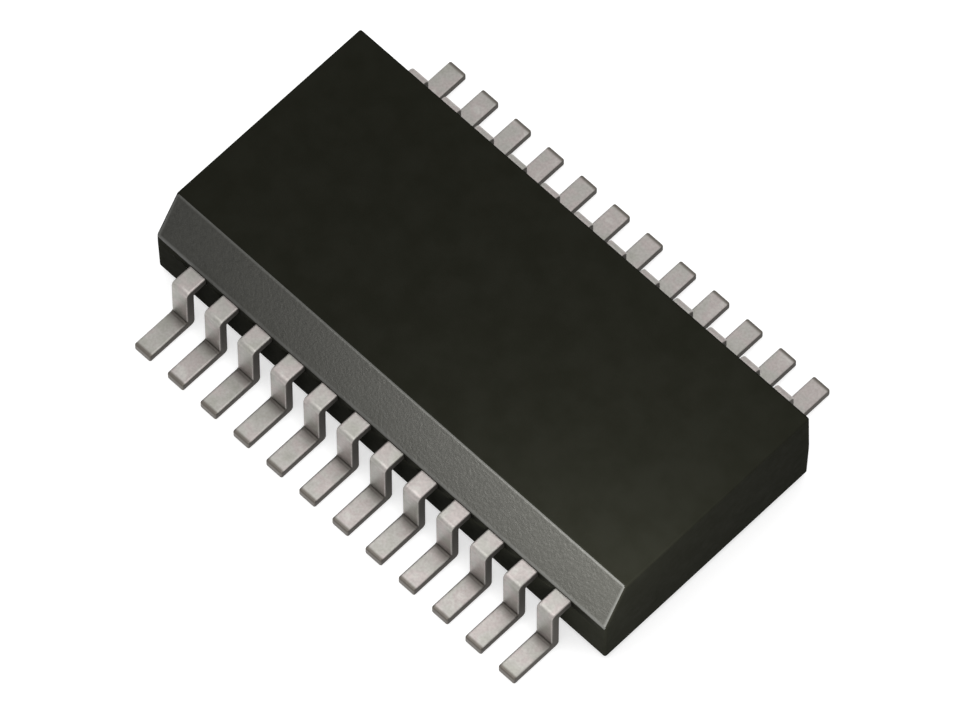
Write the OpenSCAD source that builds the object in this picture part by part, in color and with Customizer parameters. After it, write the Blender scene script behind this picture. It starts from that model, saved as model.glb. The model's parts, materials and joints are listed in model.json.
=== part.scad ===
// Converter chip in a shrink small-outline package with gull-wing leads.
// X runs along the rows of leads, Y across them and Z up from the board. The origin lies
// under the middle of the moulding, on the plane of the feet. Lead 1 is at the -X end of the
// row at -Y, below the long bevel, and the numbers run anticlockwise seen from above.

/* [Moulded body] */
// Width of the moulding across the rows, at the level of the leads
body_w = 3.98; // [3.8:0.01:4.2]
// Moulding above the level of the leads
upper_t = 0.77; // [0.6:0.01:0.9]
// Moulding below the level of the leads
lower_t = 0.69; // [0.5:0.01:0.8]
// From the middle of the first or last lead to the end of the moulding
end_margin = 0.8; // [0.6:0.01:1.1]
// Gap between the board and the underside of the moulding
standoff = 0.12; // [0.1:0.01:0.25]
// Draft of the walls above and below the level of the leads, in degrees
draft = 1; // [0:0.5:7]
// Width of the bevel above the first row of leads, seen from above
bevel_w = 0.4; // [0.25:0.01:0.6]
// Height of the wall left between those leads and the bevel
bevel_sill = 0.06; // [0.03:0.01:0.2]
// Diameter of the two round ejector marks in the underside
ejector_d = 0.9; // [0.5:0.05:1.2]
// Depth of the ejector marks
ejector_depth = 0.04; // [0.02:0.01:0.08]
// Distance between the middles of the two ejector marks
ejector_gap = 4.6; // [3:0.1:5.6]

/* [Leads outside the moulding] */
// Leads in each of the two rows
leads_per_row = 12; // [10:1:14]
// Distance between the middles of neighbouring leads
lead_pitch = 0.635; // [0.5:0.005:0.8]
// Width of a lead
lead_w = 0.31; // [0.2:0.01:0.36]
// Thickness of the lead frame's sheet
sheet_t = 0.15; // [0.15:0.01:0.25]
// From the moulding to the outer face of a lead's riser
shoulder_l = 0.37; // [0.3:0.01:0.5]
// From the moulding to the toe of a lead
lead_reach = 1.1; // [0.9:0.01:1.2]
// Inside radius of both bends of a lead
bend_r = 0.03; // [0.02:0.01:0.08]
// Outside radius of both bends, smaller than a free bend's because they are pressed in a die
knee_r = 0.08; // [0.05:0.01:0.2]

/* [Lead frame inside the moulding] */
// Straight length of a finger behind the wall, before it turns towards the die
finger_root = 0.25; // [0.15:0.01:0.4]
// Width of a finger at its tip
tip_w = 0.26; // [0.18:0.01:0.3]
// Distance between the middles of neighbouring finger tips
tip_pitch = 0.52; // [0.42:0.01:0.6]
// Length of the paddle under the die
paddle_l = 5.4; // [4.2:0.05:5.6]
// Width of the paddle
paddle_w = 2; // [1.8:0.05:2.4]
// Gap between the paddle's edge and the finger tips, seen from above
paddle_gap = 0.2; // [0.12:0.01:0.3]
// How far the paddle lies below the level of the leads
downset = 0.15; // [0.05:0.01:0.3]
// Width of the tie bars at the paddle's ends
tie_w = 0.3; // [0.2:0.01:0.5]
// Length of tie bar at the paddle's level
tie_flat = 0.2; // [0.1:0.01:0.3]
// Length over which a tie bar climbs to the level of the leads
tie_climb = 0.25; // [0.15:0.01:0.35]
// Moulding left over the end of each tie bar
tie_cover = 0.15; // [0.1:0.01:0.3]

/* [Die and bond wires] */
// Length of the die along the rows
die_l = 3; // [2.8:0.05:4]
// Width of the die
die_w = 1.5; // [1.2:0.05:1.7]
// Thickness of the die
die_t = 0.28; // [0.2:0.01:0.35]
// Thickness of the adhesive under the die
attach_t = 0.03; // [0.02:0.005:0.05]
// How far the adhesive shows around the die
attach_rim = 0.06; // [0.02:0.01:0.1]
// Distance between the middles of neighbouring bonds on the die
bond_pitch = 0.22; // [0.15:0.005:0.23]
// From the die's edge to the middle of a bond
bond_inset = 0.09; // [0.06:0.01:0.2]
// From a finger's tip to the middle of its stitch
stitch_inset = 0.12; // [0.06:0.01:0.15]
// Diameter of a bond wire
wire_d = 0.025; // [0.018:0.001:0.026]
// Diameter of a wire's neck, which stands on the ball
neck_d = 0.03; // [0.026:0.001:0.04]
// Height of a wire's crest above the die
loop_h = 0.15; // [0.1:0.01:0.2]
// Diameter of the flattened ball on the die and of the stitch on the finger
bond_d = 0.07; // [0.05:0.005:0.09]
// Height of the flattened ball and of the stitch
bond_h = 0.035; // [0.025:0.005:0.05]

/* [Hidden] */
$fn = 48;
// Overshoot of a cutting solid past the face it cuts
cut_over = 0.1;
lead_count = 2 * leads_per_row;
row_l = (leads_per_row - 1) * lead_pitch;
body_l = row_l + 2 * end_margin;
// Levels above the board
sheet_bottom = standoff + lower_t;
sheet_top = sheet_bottom + sheet_t;
body_top = sheet_top + upper_t;
bevel_foot = sheet_top + bevel_sill;
paddle_bottom = sheet_bottom - downset;
paddle_top = paddle_bottom + sheet_t;
die_bottom = paddle_top + attach_t;
die_top = die_bottom + die_t;
// How far the drafted walls lean in at the top, at the underside and at the bevel's foot
lean_top = upper_t * tan(draft);
lean_bottom = lower_t * tan(draft);
lean_sill = bevel_sill * tan(draft);
// From the middle of a bend's inside radius to the sheet's outer faces
bend_block = bend_r + sheet_t;
// Distances from the middle of the package to the turn and the tip of the fingers
finger_turn_y = body_w / 2 - finger_root;
finger_tip_y = paddle_w / 2 + paddle_gap;
// Distances from the middle of the package to the bonds on the die and on the fingers
die_bond_y = die_w / 2 - bond_inset;
stitch_y = finger_tip_y + stitch_inset;
stitch_share = stitch_inset / (finger_turn_y - finger_tip_y);

// Place of lead k in its row, counted from the middle and growing towards +X
function row_place(k) =
    (k <= leads_per_row ? k - 1 : lead_count - k) - (leads_per_row - 1) / 2;
// Side of lead k: -1 for the row below the bevel, 1 for the other
function row_side(k) = k <= leads_per_row ? -1 : 1;
function lead_x(k) = row_place(k) * lead_pitch;
function tip_x(k) = row_place(k) * tip_pitch;
function stitch_x(k) = tip_x(k) + (lead_x(k) - tip_x(k)) * stitch_share;
function numbered(name, k) = str(name, k < 10 ? "_0" : "_", k);

// Outline of a plain side, at half the moulding's size from its middle: drafted walls above and
// below the straight band at the leads
function plain_side(half) = [
    [half - lean_bottom, standoff],
    [half, sheet_bottom],
    [half, sheet_top],
    [half - lean_top, body_top]
];

// End view of the moulding, with the bevel on the left
module end_profile() {
    half = body_w / 2;
    polygon(concat(
        plain_side(half),
        [
            [bevel_w - half, body_top],
            [lean_sill - half, bevel_foot],
            [-half, sheet_top],
            [-half, sheet_bottom],
            [lean_bottom - half, standoff]
        ]
    ));
}

// Side view of the moulding, the same at both ends
module side_profile() {
    side = plain_side(body_l / 2);
    polygon(concat(side, [for (i = [len(side) - 1 : -1 : 0]) [-side[i][0], side[i][1]]]));
}

// Moulding as a full block, before anything is embedded in it
module moulding_block() {
    intersection() {
        rotate([90, 0, 90])
            linear_extrude(body_l + 2 * cut_over, center = true)
                end_profile();
        rotate([90, 0, 0])
            linear_extrude(body_w + 2 * cut_over, center = true)
                side_profile();
    }
}

module ejector_marks() {
    for (side = [-1, 1])
        translate([side * ejector_gap / 2, 0, standoff - cut_over])
            cylinder(d = ejector_d, h = cut_over + ejector_depth);
}

// The moulding is cast round the lead frame, the die and the wires, so they leave their own
// shapes in it
module moulded_body() {
    color([0.13, 0.13, 0.12])
        difference() {
            moulding_block();
            ejector_marks();
            for (k = [1 : lead_count])
                lead(k);
            die_paddle();
            die_attach();
            silicon_die();
            for (k = [1 : lead_count])
                bond_wire(k);
        }
}

// One bend about the middle of its inside radius, turned out towards +X and +Y
module bend() {
    knee_middle = bend_block - knee_r;
    difference() {
        union() {
            square([bend_block, knee_middle]);
            square([knee_middle, bend_block]);
            translate([knee_middle, knee_middle])
                intersection() {
                    circle(r = knee_r);
                    square(knee_r);
                }
        }
        circle(r = bend_r);
    }
}

// Side view of a lead from the turn of its finger to its toe. The first coordinate is the
// distance out from the moulding, the second the height above the board.
module lead_profile() {
    translate([-finger_root, sheet_bottom])
        square([finger_root + shoulder_l - bend_block, sheet_t]);
    translate([shoulder_l - bend_block, sheet_top - bend_block])
        bend();
    translate([shoulder_l - sheet_t, bend_block])
        square([sheet_t, sheet_top - 2 * bend_block]);
    translate([shoulder_l + bend_r, bend_block])
        rotate(180)
            bend();
    translate([shoulder_l + bend_r, 0])
        square([lead_reach - shoulder_l - bend_r, sheet_t]);
}

// Plan of the part of a finger that turns towards the die, for the row at +Y
module finger_plan(k) {
    polygon([
        [lead_x(k) - lead_w / 2, finger_turn_y],
        [tip_x(k) - tip_w / 2, finger_tip_y],
        [tip_x(k) + tip_w / 2, finger_tip_y],
        [lead_x(k) + lead_w / 2, finger_turn_y]
    ]);
}

module lead(k) {
    color([0.74, 0.72, 0.7])
        scale([1, row_side(k), 1]) {
            translate([lead_x(k), body_w / 2, 0])
                rotate([90, 0, 90])
                    linear_extrude(lead_w, center = true)
                        lead_profile();
            translate([0, 0, sheet_bottom])
                linear_extrude(sheet_t)
                    finger_plan(k);
        }
}

// Side view of the tie bar at the +X end, from the paddle's edge up to the level of the leads
module tie_profile() {
    start = paddle_l / 2;
    foot = start + tie_flat;
    head = foot + tie_climb;
    end = body_l / 2 - tie_cover;
    polygon([
        [start, paddle_bottom],
        [foot, paddle_bottom],
        [head, sheet_bottom],
        [end, sheet_bottom],
        [end, sheet_top],
        [head, sheet_top],
        [foot, paddle_top],
        [start, paddle_top]
    ]);
}

module die_paddle() {
    color([0.75, 0.5, 0.36]) {
        translate([-paddle_l / 2, -paddle_w / 2, paddle_bottom])
            cube([paddle_l, paddle_w, sheet_t]);
        for (turn = [0, 180])
            rotate([0, 0, turn])
                rotate([90, 0, 0])
                    linear_extrude(tie_w, center = true)
                        tie_profile();
    }
}

module die_attach() {
    color([0.62, 0.62, 0.6])
        translate([-die_l / 2 - attach_rim, -die_w / 2 - attach_rim, paddle_top])
            cube([die_l + 2 * attach_rim, die_w + 2 * attach_rim, attach_t]);
}

module silicon_die() {
    color([0.3, 0.32, 0.4])
        translate([-die_l / 2, -die_w / 2, die_bottom])
            cube([die_l, die_w, die_t]);
}

// Straight length of bond wire from point a to point b
module wire_span(a, b) {
    run = b - a;
    translate(a)
        rotate([0, acos(run[2] / norm(run)), atan2(run[1], run[0])])
            cylinder(d = wire_d, h = norm(run));
}

// Ball and neck on the die, then the span down to the stitch on the finger of lead k
module bond_wire(k) {
    ball = [row_place(k) * bond_pitch, row_side(k) * die_bond_y, die_top];
    stitch = [stitch_x(k), row_side(k) * stitch_y, sheet_top];
    crest = ball + [0, 0, loop_h - neck_d / 2];
    landing = stitch + [0, 0, bond_h / 2];
    color([0.9, 0.72, 0.25]) {
        translate(ball) {
            cylinder(d = bond_d, h = bond_h);
            cylinder(d = neck_d, h = loop_h);
        }
        wire_span(crest, landing);
        translate(stitch)
            cylinder(d = bond_d, h = bond_h);
    }
}

moulded_body();
for (k = [1 : lead_count])
    lead(k);
die_paddle();
die_attach();
silicon_die();
for (k = [1 : lead_count])
    bond_wire(k);
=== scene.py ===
import json
import math
from collections import namedtuple

import bmesh
import bpy
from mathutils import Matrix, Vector

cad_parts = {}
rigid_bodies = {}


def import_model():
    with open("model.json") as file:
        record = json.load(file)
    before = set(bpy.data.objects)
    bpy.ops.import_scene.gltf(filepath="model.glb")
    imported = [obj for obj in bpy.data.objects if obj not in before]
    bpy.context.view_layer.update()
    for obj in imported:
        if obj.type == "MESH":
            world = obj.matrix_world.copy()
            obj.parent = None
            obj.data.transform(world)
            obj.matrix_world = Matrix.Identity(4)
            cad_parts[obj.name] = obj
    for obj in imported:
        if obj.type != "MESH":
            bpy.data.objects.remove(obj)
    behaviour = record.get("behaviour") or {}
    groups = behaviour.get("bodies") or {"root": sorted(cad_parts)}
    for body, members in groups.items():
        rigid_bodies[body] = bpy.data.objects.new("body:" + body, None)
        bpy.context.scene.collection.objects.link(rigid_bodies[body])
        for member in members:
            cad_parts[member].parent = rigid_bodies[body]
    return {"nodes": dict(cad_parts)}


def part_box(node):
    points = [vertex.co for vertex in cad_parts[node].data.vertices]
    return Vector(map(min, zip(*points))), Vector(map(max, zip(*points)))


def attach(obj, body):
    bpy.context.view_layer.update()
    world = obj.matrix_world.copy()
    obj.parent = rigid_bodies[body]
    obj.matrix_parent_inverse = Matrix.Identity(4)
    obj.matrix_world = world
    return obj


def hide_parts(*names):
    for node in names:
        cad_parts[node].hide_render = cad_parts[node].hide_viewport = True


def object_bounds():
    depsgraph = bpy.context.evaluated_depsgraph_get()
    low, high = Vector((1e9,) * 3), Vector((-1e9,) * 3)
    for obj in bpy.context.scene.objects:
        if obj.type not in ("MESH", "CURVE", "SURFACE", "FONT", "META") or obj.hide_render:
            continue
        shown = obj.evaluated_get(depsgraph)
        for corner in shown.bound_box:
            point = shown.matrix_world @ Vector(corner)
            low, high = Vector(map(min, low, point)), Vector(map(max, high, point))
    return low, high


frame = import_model()
cad_low, cad_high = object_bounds()

# Lengths are written in millimetres and turned into metres with MM.
MM = 0.001
NODES = frame["nodes"]
LEADS = sorted(name for name in NODES if name.startswith("lead_"))
WIRES = sorted(name for name in NODES if name.startswith("bond_wire_"))
INNER = ["die_paddle", "die_attach", "silicon_die"]

# Moulding: its box comes from the CAD node, the rest repeats the part's own sizes.
BEVEL_WIDTH = 0.40
BEVEL_SILL = 0.06
DRAFT = math.radians(1)
EJECTOR_DIAMETER = 0.90
EJECTOR_DEPTH = 0.04
EJECTOR_SPACING = 4.60

# Leads: the part's own sizes.
SHEET_THICKNESS = 0.15
SHOULDER_LENGTH = 0.37

# Rounds on the edges: the sharp edges of the moulding and the stamped edges of the leads.
EDGE_ROUND = 0.035
EDGE_SEGMENTS = 4
EDGE_ANGLE = math.radians(15)
ROUND_PROFILE = 0.5
LEAD_ROUND = 0.035
LEAD_ROUND_SEGMENTS = 4
LEAD_ROUND_ANGLE = math.radians(40)

# Meshes: facets of a round mark, and limits for one point, one flat face and the bevel's direction.
EJECTOR_SIDES = 64
WELD_DISTANCE = 0.00005
FLAT_ANGLE = math.radians(0.2)
BEVEL_SPREAD = math.radians(25)
LARGE_FACE_WEIGHT = 100

# Camera: the photograph's viewing angle, its frame and the object's scale and place in it.
PHOTO_WIDTH = 960
CAMERA_AZIMUTH = math.radians(44.5)
CAMERA_ELEVATION = math.radians(63)
PIXELS_PER_MM = 73
ORIGIN_RIGHT_OF_MIDDLE = 2
ORIGIN_BELOW_MIDDLE = 11.5
LENS = 500
SENSOR = 36
CLIP_NEAR = 10
CLIP_FAR = 2000


def add_object(name, data):
    """A new object that holds a mesh, a lamp or a camera, linked into the scene."""
    made = bpy.data.objects.new(name, data)
    bpy.context.scene.collection.objects.link(made)
    return made


def mesh_from(name, bm):
    """Turns a bmesh into a mesh with smooth faces and outward normals."""
    bmesh.ops.recalc_face_normals(bm, faces=bm.faces)
    mesh = bpy.data.meshes.new(name)
    bm.to_mesh(mesh)
    bm.free()
    mesh.shade_smooth()
    return mesh


def weighted_normals(piece):
    """Keeps flat faces flat while the rounds between them shade smoothly."""
    fix = piece.modifiers.new("flat_faces", "WEIGHTED_NORMAL")
    fix.mode = "FACE_AREA"
    fix.weight = LARGE_FACE_WEIGHT
    fix.keep_sharp = True


# Moulding

Ring = namedtuple("Ring", "level half_length front back")


def moulding_rings():
    """The moulding's outline at each level where its walls turn, from its underside up."""
    low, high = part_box("moulded_body")
    sheet_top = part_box(LEADS[0])[1].z
    sheet_bottom = sheet_top - SHEET_THICKNESS * MM
    sill = sheet_top + BEVEL_SILL * MM
    half_length = high.x
    half_width = high.y
    slope = math.tan(DRAFT)
    lean_low = (sheet_bottom - low.z) * slope
    lean_sill = (sill - sheet_top) * slope
    lean_top = (high.z - sheet_top) * slope
    rings = []
    for level, lean, front in (
        (low.z, lean_low, half_width - lean_low),
        (sheet_bottom, 0, half_width),
        (sheet_top, 0, half_width),
        (sill, lean_sill, half_width - lean_sill),
        (high.z, lean_top, half_width - BEVEL_WIDTH * MM),
    ):
        rings.append(Ring(level, half_length - lean, -front, half_width - lean))
    return rings


def moulding_block():
    """The moulding as one closed block with rounded edges."""
    bm = bmesh.new()
    loops = []
    for level, half_length, front, back in moulding_rings():
        corners = ((-half_length, front), (half_length, front), (half_length, back), (-half_length, back))
        loops.append([bm.verts.new((x, y, level)) for x, y in corners])
    bm.faces.new(loops[0])
    bm.faces.new(loops[-1])
    for below, above in zip(loops, loops[1:]):
        for i in range(len(below)):
            j = (i + 1) % len(below)
            bm.faces.new((below[i], below[j], above[j], above[i]))
    bmesh.ops.recalc_face_normals(bm, faces=bm.faces)
    bmesh.ops.dissolve_limit(bm, angle_limit=FLAT_ANGLE, verts=bm.verts, edges=bm.edges)
    sharp = [edge for edge in bm.edges if edge.calc_face_angle() > EDGE_ANGLE]
    bmesh.ops.bevel(
        bm,
        geom=sharp,
        offset=EDGE_ROUND * MM,
        offset_type="OFFSET",
        segments=EDGE_SEGMENTS,
        profile=ROUND_PROFILE,
        affect="EDGES",
        clamp_overlap=True,
    )
    return mesh_from("moulding_block", bm)


def finished_copy(name):
    """A closed copy of a node's finished mesh, for cutting its shape out of the moulding."""
    bm = bmesh.new()
    bm.from_object(NODES[name], bpy.context.evaluated_depsgraph_get())
    bmesh.ops.remove_doubles(bm, verts=bm.verts, dist=WELD_DISTANCE * MM)
    bmesh.ops.triangulate(bm, faces=bm.faces)
    return mesh_from("cut_" + name, bm)


def ejector_cut(side):
    """The pin that leaves a round mark in the underside; half of it stands outside."""
    bm = bmesh.new()
    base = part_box("moulded_body")[0].z
    bmesh.ops.create_cone(
        bm,
        cap_ends=True,
        segments=EJECTOR_SIDES,
        radius1=EJECTOR_DIAMETER / 2 * MM,
        radius2=EJECTOR_DIAMETER / 2 * MM,
        depth=2 * EJECTOR_DEPTH * MM,
    )
    bmesh.ops.translate(bm, verts=bm.verts, vec=(side * EJECTOR_SPACING / 2 * MM, 0, base))
    return mesh_from("cut_ejector", bm)


def dress_moulding(piece):
    """The bevel and the rounds beside it take the second, less matte finish."""
    sill, top = moulding_rings()[-2:]
    facing = Vector((0, sill.level - top.level, top.front - sill.front)).normalized()
    for finish in (mould_finish(), bevel_finish()):
        piece.data.materials.append(finish)
    for face in piece.data.polygons:
        face.material_index = int(face.normal.angle(facing) < BEVEL_SPREAD)


def build_moulding():
    """The moulding, with the shapes of all that is cast into it and the ejector marks cut out."""
    piece = add_object("moulding", moulding_block())
    cutters = bpy.data.collections.new("cutters")
    meshes = [finished_copy(name) for name in LEADS + INNER + WIRES]
    meshes += [ejector_cut(side) for side in (-1, 1)]
    for mesh in meshes:
        cutters.objects.link(bpy.data.objects.new(mesh.name, mesh))
    cut = piece.modifiers.new("seats", "BOOLEAN")
    cut.operation = "DIFFERENCE"
    cut.operand_type = "COLLECTION"
    cut.collection = cutters
    cut.solver = "EXACT"
    bpy.context.view_layer.update()
    seen = piece.evaluated_get(bpy.context.evaluated_depsgraph_get())
    finished = bpy.data.meshes.new_from_object(seen)
    finished.name = "moulding"
    piece.modifiers.clear()
    finished.materials.clear()
    piece.data = finished
    dress_moulding(piece)
    for tool in list(cutters.objects):
        bpy.data.objects.remove(tool)
    bpy.data.collections.remove(cutters)
    weighted_normals(piece)
    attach(piece, "root")
    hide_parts("moulded_body")
    return piece


# Leads

def round_lead(piece):
    """Breaks a stamped lead's edges with a small round."""
    weld = piece.modifiers.new("weld", "WELD")
    weld.merge_threshold = WELD_DISTANCE * MM
    flat = piece.modifiers.new("flat", "DECIMATE")
    flat.decimate_type = "DISSOLVE"
    flat.angle_limit = FLAT_ANGLE
    edge = piece.modifiers.new("edge", "BEVEL")
    edge.width = LEAD_ROUND * MM
    edge.segments = LEAD_ROUND_SEGMENTS
    edge.limit_method = "ANGLE"
    edge.angle_limit = LEAD_ROUND_ANGLE
    weighted_normals(piece)


# Materials: colours are linear, noise counts lumps to the millimetre, relief is in millimetres.
# A pair named places, edge or facing says where a mask or a blend starts and where it ends.

METAL = 1.0
NOISE_DETAIL = 3.0
GRAIN_DETAIL = 2
NOISE_PLACES = (0.3, 0.7)
OFF_ON = (0, 1)
ON_OFF = (1, 0)

# The Mix node's colour sockets are named by number, because other sockets share their names.
MIX_FIRST = 6
MIX_SECOND = 7
MIX_RESULT = 2

MOULD_DARK = (0.0088, 0.0090, 0.0062)
MOULD_LIGHT = (0.0104, 0.0106, 0.0076)
MOULD_CLOUDS = 2.5
MOULD_CLOUD_PLACES = (0.35, 0.65)
MOULD_SPECULAR = 0.02
MOULD_PATCHES = 9
MOULD_ROUGHNESS = (0.80, 0.92)
MOULD_GRAIN = 45
MOULD_RELIEF = 0.0015

BEVEL_SPECULAR = 0.17
BEVEL_PATCHES = 16
BEVEL_ROUGHNESS = (0.34, 0.48)
BEVEL_GRAIN = 20
BEVEL_RELIEF = 0.003
# Painted highlight: a lighter tone in thin lines along the bevel's upper and lower edges and at its ends.
PAINTED_HIGHLIGHT = (0.065, 0.065, 0.060)
PAINTED_HIGHLIGHT_EDGE = (0.015, 0.05)
PAINTED_HIGHLIGHT_END_START = 0.06
PAINTED_HIGHLIGHT_END_FULL = 0.02

TIN_MOTTLE = 3.5
TIN_MOTTLE_DETAIL = 4
TIN_TONES = (
    (0.30, (0.331, 0.327, 0.294)),
    (0.45, (0.386, 0.373, 0.350)),
    (0.58, (0.405, 0.363, 0.350)),
    (0.70, (0.460, 0.442, 0.419)),
)
TIN_GRAIN = 26
TIN_GRAIN_TONE = (0.22, 0.21, 0.20)
TIN_GRAIN_SHARE = (0, 0.35)
# Painted shade: a darker band on the tops of the feet next to the risers.
PAINTED_HEEL_SHADE = (0.155, 0.145, 0.134)
PAINTED_HEEL_SHADE_EDGE = (0.02, 0.16)
PAINTED_HEEL_SHADE_FACING = (0.5, 0.9)
# Painted shade: a dark line in the concave bend between riser and foot.
PAINTED_CREASE_SHADE = (0.085, 0.077, 0.069)
PAINTED_CREASE_SHADE_EDGE = (0.02, 0.05)
TIN_TOE = (0.128, 0.116, 0.102)
# Painted shade: a dark tone on the lead sides that face either way along the rows.
PAINTED_SIDE_SHADE = (0.105, 0.097, 0.088)
SHADED_SIDE_FACING = (0.55, 0.9)
TIN_SHEARED_ROUGHNESS = (0, 0.75)
TIN_PATCHES = 14
TIN_ROUGHNESS = (0.40, 0.50)
TIN_PITTING = 60
TIN_RELIEF = 0.0012

COPPER_DARK = (0.58, 0.33, 0.22)
COPPER_LIGHT = (0.68, 0.41, 0.28)
COPPER_LINES = 6
COPPER_STRETCH = (0.3, 8, 8)
COPPER_ROUGHNESS = (0.30, 0.45)
COPPER_RELIEF = 0.001

ADHESIVE_DARK = (0.38, 0.38, 0.36)
ADHESIVE_LIGHT = (0.52, 0.52, 0.50)
ADHESIVE_METAL = 0.4
ADHESIVE_GRAIN = 30
ADHESIVE_ROUGHNESS = (0.50, 0.70)
ADHESIVE_RELIEF = 0.002

SILICON_DARK = (0.07, 0.085, 0.13)
SILICON_LIGHT = (0.12, 0.12, 0.15)
SILICON_METAL = 0.3
SILICON_BLOCKS = 5.0
SILICON_BLOCK_PLACES = (0.1, 0.7)
SILICON_PATCHES = 12
SILICON_ROUGHNESS = (0.12, 0.25)

GOLD_DARK = (0.80, 0.58, 0.18)
GOLD_LIGHT = (0.87, 0.67, 0.25)
GOLD_LINES = 40
GOLD_ROUGHNESS = (0.22, 0.34)


class Finish:
    """A material with one Principled surface and textures laid out in millimetres."""

    def __init__(self, name, **constants):
        self.material = bpy.data.materials.new(name)
        self.material.use_nodes = True
        self.tree = self.material.node_tree
        self.surface = self.tree.nodes["Principled BSDF"]
        for socket, value in constants.items():
            self.surface.inputs[socket.replace("_", " ")].default_value = value
        self.coords = self.node("ShaderNodeTexCoord")
        scale = self.node("ShaderNodeVectorMath")
        scale.operation = "SCALE"
        scale.inputs["Scale"].default_value = 1 / MM
        self.link(self.coords.outputs["Object"], scale.inputs["Vector"])
        self.place = scale.outputs["Vector"]

    def node(self, kind):
        """A new node in the material."""
        return self.tree.nodes.new(kind)

    def link(self, source, target):
        """Leads an output into an input."""
        self.tree.links.new(source, target)

    def noise(self, scale, detail=NOISE_DETAIL, stretch=None):
        """Fractal noise with about this many lumps to the millimetre."""
        place = self.place
        if stretch:
            multiply = self.node("ShaderNodeVectorMath")
            multiply.operation = "MULTIPLY"
            multiply.inputs[1].default_value = stretch
            self.link(place, multiply.inputs[0])
            place = multiply.outputs["Vector"]
        texture = self.node("ShaderNodeTexNoise")
        texture.inputs["Scale"].default_value = scale
        texture.inputs["Detail"].default_value = detail
        self.link(place, texture.inputs["Vector"])
        return texture.outputs["Fac"]

    def ramp(self, factor, stops):
        """Colour along a factor: pairs of a place and a colour, in rising order."""
        node = self.node("ShaderNodeValToRGB")
        points = node.color_ramp.elements
        for place, _ in stops[len(points):]:
            points.new(place)
        for point, (place, colour) in zip(points, stops):
            point.position = place
            point.color = (*colour, 1)
        self.link(factor, node.inputs["Fac"])
        return node.outputs["Color"]

    def two_tone(self, factor, dark, light, places=NOISE_PLACES):
        """Colour that runs from a dark to a light tone between two places on a factor."""
        return self.ramp(factor, tuple(zip(places, (dark, light))))

    def span(self, factor, values, places=NOISE_PLACES):
        """A factor between two places stretched over a pair of values."""
        node = self.node("ShaderNodeMapRange")
        node.inputs["From Min"].default_value, node.inputs["From Max"].default_value = places
        node.inputs["To Min"].default_value, node.inputs["To Max"].default_value = values
        self.link(factor, node.inputs["Value"])
        return node.outputs["Result"]

    def mix(self, factor, first, second):
        """Two colours mixed by a factor; each is an output or three numbers."""
        node = self.node("ShaderNodeMix")
        node.data_type = "RGBA"
        self.link(factor, node.inputs["Factor"])
        for socket, colour in zip((node.inputs[MIX_FIRST], node.inputs[MIX_SECOND]), (first, second)):
            if isinstance(colour, tuple):
                socket.default_value = (*colour, 1)
            else:
                self.link(colour, socket)
        return node.outputs[MIX_RESULT]

    def combine(self, operation, first, second):
        """Two values put together by a Math node's operation."""
        node = self.node("ShaderNodeMath")
        node.operation = operation
        self.link(first, node.inputs[0])
        self.link(second, node.inputs[1])
        return node.outputs["Value"]

    def facing(self, axis, places):
        """1 where the surface faces along an axis or against it, falling to 0."""
        split = self.node("ShaderNodeSeparateXYZ")
        self.link(self.coords.outputs["Normal"], split.inputs["Vector"])
        size = self.node("ShaderNodeMath")
        size.operation = "ABSOLUTE"
        self.link(split.outputs[axis], size.inputs[0])
        return self.span(size.outputs["Value"], OFF_ON, places)

    def mirrored(self):
        """Places folded about the middle of the package, so that both sides count alike."""
        fold = self.node("ShaderNodeVectorMath")
        fold.operation = "ABSOLUTE"
        self.link(self.place, fold.inputs[0])
        return fold.outputs["Vector"]

    def beyond(self, axis, places):
        """0 up to a distance from the middle along an axis, rising to 1."""
        split = self.node("ShaderNodeSeparateXYZ")
        self.link(self.mirrored(), split.inputs["Vector"])
        return self.span(split.outputs[axis], OFF_ON, places)

    def beside(self, y, z, places):
        """1 along a line that runs with the rows, at y out from the middle, falling to 0."""
        flat = self.node("ShaderNodeVectorMath")
        flat.operation = "MULTIPLY"
        flat.inputs[1].default_value = (0, 1, 1)
        self.link(self.mirrored(), flat.inputs[0])
        away = self.node("ShaderNodeVectorMath")
        away.operation = "DISTANCE"
        away.inputs[1].default_value = (0, y, z)
        self.link(flat.outputs["Vector"], away.inputs[0])
        return self.span(away.outputs["Value"], ON_OFF, places)

    def colour(self, source):
        """The surface's colour."""
        self.link(source, self.surface.inputs["Base Color"])

    def roughness(self, source):
        """The surface's roughness."""
        self.link(source, self.surface.inputs["Roughness"])

    def bump(self, height, depth):
        """Relief of this depth in millimetres."""
        node = self.node("ShaderNodeBump")
        node.inputs["Distance"].default_value = depth * MM
        self.link(height, node.inputs["Height"])
        self.link(node.outputs["Normal"], self.surface.inputs["Normal"])


def mould_colour(finish):
    """The epoxy's black, slightly clouded by its filler."""
    return finish.two_tone(finish.noise(MOULD_CLOUDS), MOULD_DARK, MOULD_LIGHT, MOULD_CLOUD_PLACES)


def mould_finish():
    """Black filled epoxy with the fine matte grain of a spark-eroded mould."""
    finish = Finish("mould_compound", Specular_IOR_Level=MOULD_SPECULAR)
    finish.colour(mould_colour(finish))
    finish.roughness(finish.span(finish.noise(MOULD_PATCHES), MOULD_ROUGHNESS))
    finish.bump(finish.noise(MOULD_GRAIN, GRAIN_DETAIL), MOULD_RELIEF)
    return finish.material


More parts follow.
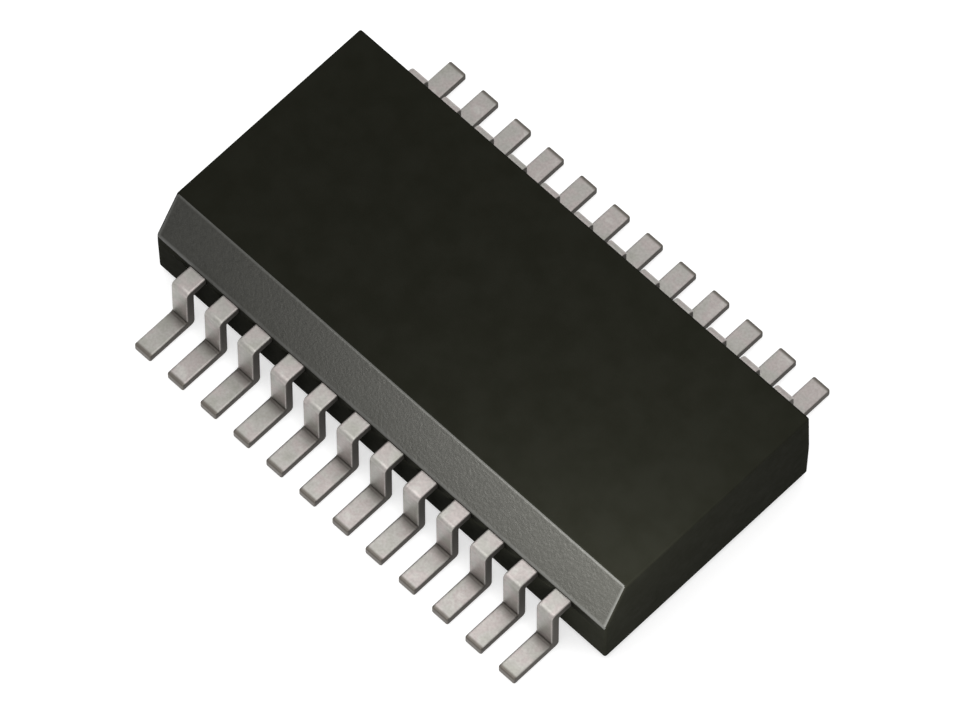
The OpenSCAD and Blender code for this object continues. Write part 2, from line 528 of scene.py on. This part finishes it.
def bevel_finish():
    """The same epoxy along the bevel, less matte, with painted highlight lines along its edges and at its
    ends.
    """
    finish = Finish("mould_bevel", Specular_IOR_Level=BEVEL_SPECULAR)
    colour = mould_colour(finish)
    sill, top = moulding_rings()[-2:]
    # Painted highlight: light lines along the bevel's lower and upper edges.
    for ring in (sill, top):
        edge = finish.beside(-ring.front / MM, ring.level / MM, PAINTED_HIGHLIGHT_EDGE)
        colour = finish.mix(edge, colour, PAINTED_HIGHLIGHT)
    # Painted highlight at both ends of the bevel.
    end = top.half_length / MM
    end_highlight = finish.beyond("X", (end - PAINTED_HIGHLIGHT_END_START, end - PAINTED_HIGHLIGHT_END_FULL))
    finish.colour(finish.mix(end_highlight, colour, PAINTED_HIGHLIGHT))
    finish.roughness(finish.span(finish.noise(BEVEL_PATCHES), BEVEL_ROUGHNESS))
    finish.bump(finish.noise(BEVEL_GRAIN), BEVEL_RELIEF)
    return finish.material


def tin_colour(finish, shaded_sides):
    """Mottled, grainy tin, darker at the cut toes, with painted shade at the heels, in the creases and on
    the stamped sides.
    """
    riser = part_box("moulded_body")[1].y / MM + SHOULDER_LENGTH
    toe_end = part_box(LEADS[-1])[1].y / MM
    mottle = finish.ramp(finish.noise(TIN_MOTTLE, TIN_MOTTLE_DETAIL), TIN_TONES)
    grain = finish.span(finish.noise(TIN_GRAIN, GRAIN_DETAIL), TIN_GRAIN_SHARE)
    # Painted shade on the foot's top near the riser, where the riser would shade it.
    near_heel_shade = finish.beside(riser, SHEET_THICKNESS, PAINTED_HEEL_SHADE_EDGE)
    heel_shade = finish.combine("MULTIPLY", near_heel_shade, finish.facing("Z", PAINTED_HEEL_SHADE_FACING))
    # Painted shade along the concave bend at the heel.
    crease_shade = finish.beside(riser, SHEET_THICKNESS, PAINTED_CREASE_SHADE_EDGE)
    toe = finish.beyond("Y", (toe_end - 2 * LEAD_ROUND, toe_end - LEAD_ROUND))
    colour = mottle
    # Grain and the bare toe are the tin's own; the heel, crease and side tones are painted shade.
    for mask, tone in (
        (grain, TIN_GRAIN_TONE),
        (heel_shade, PAINTED_HEEL_SHADE),
        (crease_shade, PAINTED_CREASE_SHADE),
        (toe, TIN_TOE),
        (shaded_sides, PAINTED_SIDE_SHADE),
    ):
        colour = finish.mix(mask, colour, tone)
    return colour


def tin_finish():
    """Matte tin plating; the sides that face along the rows are rougher and carry painted shade."""
    finish = Finish("tin_plate", Metallic=METAL)
    # Sides facing along the rows: rougher as stamped metal, and darker with painted shade.
    shaded_sides = finish.facing("X", SHADED_SIDE_FACING)
    finish.colour(tin_colour(finish, shaded_sides))
    plated = finish.span(finish.noise(TIN_PATCHES), TIN_ROUGHNESS)
    torn = finish.span(shaded_sides, TIN_SHEARED_ROUGHNESS, OFF_ON)
    finish.roughness(finish.combine("MAXIMUM", plated, torn))
    finish.bump(finish.noise(TIN_PITTING, GRAIN_DETAIL), TIN_RELIEF)
    return finish.material


def copper_finish():
    """Rolled copper alloy, with fine lines along the sheet."""
    finish = Finish("frame_copper", Metallic=METAL)
    lines = finish.noise(COPPER_LINES, stretch=COPPER_STRETCH)
    finish.colour(finish.two_tone(lines, COPPER_DARK, COPPER_LIGHT))
    finish.roughness(finish.span(lines, COPPER_ROUGHNESS))
    finish.bump(lines, COPPER_RELIEF)
    return finish.material


def adhesive_finish():
    """Silver-filled epoxy, grey and grainy."""
    finish = Finish("die_adhesive", Metallic=ADHESIVE_METAL)
    grain = finish.noise(ADHESIVE_GRAIN)
    finish.colour(finish.two_tone(grain, ADHESIVE_DARK, ADHESIVE_LIGHT))
    finish.roughness(finish.span(grain, ADHESIVE_ROUGHNESS))
    finish.bump(grain, ADHESIVE_RELIEF)
    return finish.material


def silicon_finish():
    """Polished silicon with the faint blocks of its circuits."""
    finish = Finish("silicon", Metallic=SILICON_METAL)
    blocks = finish.node("ShaderNodeTexVoronoi")
    blocks.distance = "CHEBYCHEV"
    blocks.inputs["Scale"].default_value = SILICON_BLOCKS
    finish.link(finish.place, blocks.inputs["Vector"])
    shade = blocks.outputs["Distance"]
    finish.colour(finish.two_tone(shade, SILICON_DARK, SILICON_LIGHT, SILICON_BLOCK_PLACES))
    finish.roughness(finish.span(finish.noise(SILICON_PATCHES), SILICON_ROUGHNESS))
    return finish.material


def gold_finish():
    """Drawn gold wire."""
    finish = Finish("gold_wire", Metallic=METAL)
    lines = finish.noise(GOLD_LINES)
    finish.colour(finish.two_tone(lines, GOLD_DARK, GOLD_LIGHT))
    finish.roughness(finish.span(lines, GOLD_ROUGHNESS))
    return finish.material


def wear(piece, material):
    """Gives a piece one material in place of whatever it came with."""
    piece.data.materials.clear()
    piece.data.materials.append(material)


def build_part():
    """Rounds the leads, casts the moulding round everything and gives each piece its material."""
    for name in LEADS:
        round_lead(NODES[name])
    moulding = build_moulding()
    tin = tin_finish()
    for name in LEADS:
        wear(NODES[name], tin)
    for name, finish in zip(INNER, (copper_finish(), adhesive_finish(), silicon_finish())):
        wear(NODES[name], finish)
    gold = gold_finish()
    for name in WIRES:
        wear(NODES[name], gold)
    return moulding


# Stage: lamps have a place, a size and a radiance, where 1 is as bright as white.

FLOOR_HALF = 300
FLOOR_SHADE = 0.65
FLOOR_GLOW = 0.55
WORLD_LIGHT = 0.6
WORLD_SEEN = 1.0
WHITE = (1, 1, 1)
WARM = (1, 0.985, 0.92)
PART_MIDDLE = (0, 0, 1)
OVERHEAD = {"place": (0, -10, 90), "size": (100, 100), "radiance": 2.1}
BEVEL_LAMP = {"place": (0.2, -18, 2.0), "size": (10, 3), "radiance": 60, "colour": WARM}
CORNER_LAMP = {"place": (5.8, -4, 4.7), "size": (3, 3), "radiance": 27, "aim": (4, -1.6, 1.7)}
ROW_LAMP = {"place": (0.8, -2.5, 13), "size": (12, 12.4), "radiance": 1.7, "aim": (0.8, -2.5, 0)}
UNDER_LAMP = {"place": (0, 0, -40), "size": (16, 16), "radiance": 30}


def grey(level):
    """A neutral colour for a shader socket."""
    return (level, level, level, 1)


def seen_directly(tree):
    """1 for rays from the camera and for mirror and glass rays, 0 for diffuse light."""
    path = tree.nodes.new("ShaderNodeLightPath")
    total = path.outputs["Is Camera Ray"]
    for kind in ("Is Glossy Ray", "Is Transmission Ray"):
        both = tree.nodes.new("ShaderNodeMath")
        both.operation = "MAXIMUM"
        tree.links.new(total, both.inputs[0])
        tree.links.new(path.outputs[kind], both.inputs[1])
        total = both.outputs["Value"]
    return total


def floor_material():
    """White floor that keeps the object's shadow, and lets the camera look through it from below."""
    material = bpy.data.materials.new("floor")
    material.use_nodes = True
    tree = material.node_tree
    tree.nodes.clear()
    paper = tree.nodes.new("ShaderNodeBsdfDiffuse")
    paper.inputs["Color"].default_value = grey(FLOOR_SHADE)
    glow = tree.nodes.new("ShaderNodeEmission")
    tree.links.new(seen_directly(tree), glow.inputs["Strength"])
    glow.inputs["Color"].default_value = grey(FLOOR_GLOW)
    lit = tree.nodes.new("ShaderNodeAddShader")
    tree.links.new(paper.outputs["BSDF"], lit.inputs[0])
    tree.links.new(glow.outputs["Emission"], lit.inputs[1])
    clear = tree.nodes.new("ShaderNodeBsdfTransparent")
    side = tree.nodes.new("ShaderNodeNewGeometry")
    shown = tree.nodes.new("ShaderNodeMixShader")
    tree.links.new(side.outputs["Backfacing"], shown.inputs["Fac"])
    tree.links.new(lit.outputs["Shader"], shown.inputs[1])
    tree.links.new(clear.outputs["BSDF"], shown.inputs[2])
    out = tree.nodes.new("ShaderNodeOutputMaterial")
    tree.links.new(shown.outputs["Shader"], out.inputs["Surface"])
    return material


def build_floor():
    """A wide sheet of paper under the feet."""
    bm = bmesh.new()
    bmesh.ops.create_grid(bm, x_segments=1, y_segments=1, size=FLOOR_HALF * MM)
    floor = add_object("floor", mesh_from("floor", bm))
    floor.location.z = cad_low.z
    wear(floor, floor_material())


def build_world():
    """White where it is seen, softer as a light."""
    world = bpy.data.worlds.new("studio")
    bpy.context.scene.world = world
    world.use_nodes = True
    tree = world.node_tree
    tree.nodes.clear()
    both = tree.nodes.new("ShaderNodeMixShader")
    tree.links.new(seen_directly(tree), both.inputs["Fac"])
    for strength, target in ((WORLD_LIGHT, both.inputs[1]), (WORLD_SEEN, both.inputs[2])):
        background = tree.nodes.new("ShaderNodeBackground")
        background.inputs["Color"].default_value = (*WHITE, 1)
        background.inputs["Strength"].default_value = strength
        tree.links.new(background.outputs["Background"], target)
    out = tree.nodes.new("ShaderNodeOutputWorld")
    tree.links.new(both.outputs["Shader"], out.inputs["Surface"])


def softbox(name, place, size, radiance, aim=PART_MIDDLE, colour=WHITE):
    """A rectangular lamp that faces a point and that the camera doesn't see."""
    data = bpy.data.lights.new(name, "AREA")
    data.shape = "RECTANGLE"
    data.size = size[0] * MM
    data.size_y = size[1] * MM
    data.color = colour
    data.energy = radiance * math.pi * data.size * data.size_y
    lamp = add_object(name, data)
    lamp.location = Vector(place) * MM
    lamp.rotation_euler = (Vector(aim) - Vector(place)).to_track_quat("-Z", "Y").to_euler()
    lamp.visible_camera = False
    return lamp


def group(name, pieces):
    """A collection that lists these pieces."""
    made = bpy.data.collections.new(name)
    for piece in pieces:
        made.objects.link(piece)
    return made


def light_only(lamp, pieces):
    """The lamp reaches these pieces and nothing else."""
    lamp.light_linking.receiver_collection = group(lamp.name + "_lit", pieces)


def shade_only(lamp, pieces):
    """These pieces and nothing else stand in the lamp's way."""
    lamp.light_linking.blocker_collection = group(lamp.name + "_shades", pieces)


def build_lights(moulding):
    """Soft light from above, and lamps for the bevel, its corner, the leads and the underside."""
    leads = [NODES[name] for name in LEADS]
    overhead = softbox("overhead", **OVERHEAD)
    overhead.visible_glossy = False
    bevel_lamp = softbox("bevel_lamp", **BEVEL_LAMP)
    bevel_lamp.visible_diffuse = False
    light_only(bevel_lamp, [moulding])
    corner_lamp = softbox("corner_lamp", **CORNER_LAMP)
    light_only(corner_lamp, [moulding])
    row_lamp = softbox("row_lamp", **ROW_LAMP)
    light_only(row_lamp, leads)
    under_lamp = softbox("under_lamp", **UNDER_LAMP)
    under_lamp.visible_glossy = False
    light_only(under_lamp, [moulding])
    shade_only(under_lamp, [moulding] + leads)


def build_camera():
    """A long lens at the photograph's angle, so that parallel edges stay parallel."""
    back = Vector((
        math.sin(CAMERA_AZIMUTH) * math.cos(CAMERA_ELEVATION),
        -math.cos(CAMERA_AZIMUTH) * math.cos(CAMERA_ELEVATION),
        math.sin(CAMERA_ELEVATION),
    ))
    turn = (-back).to_track_quat("-Z", "Y")
    up = turn @ Vector((0, 1, 0))
    right = turn @ Vector((1, 0, 0))
    middle = (up * ORIGIN_BELOW_MIDDLE - right * ORIGIN_RIGHT_OF_MIDDLE) / PIXELS_PER_MM
    distance = LENS * PHOTO_WIDTH / (SENSOR * PIXELS_PER_MM)
    data = bpy.data.cameras.new("camera")
    data.lens = LENS
    data.sensor_width = SENSOR
    data.clip_start = CLIP_NEAR * MM
    data.clip_end = CLIP_FAR * MM
    camera = add_object("camera", data)
    camera.location = (middle + back * distance) * MM
    camera.rotation_mode = "QUATERNION"
    camera.rotation_quaternion = turn
    bpy.context.scene.camera = camera


build_camera()
moulding = build_part()
build_floor()
build_world()
build_lights(moulding)
bpy.context.scene.view_settings.view_transform = "Standard"
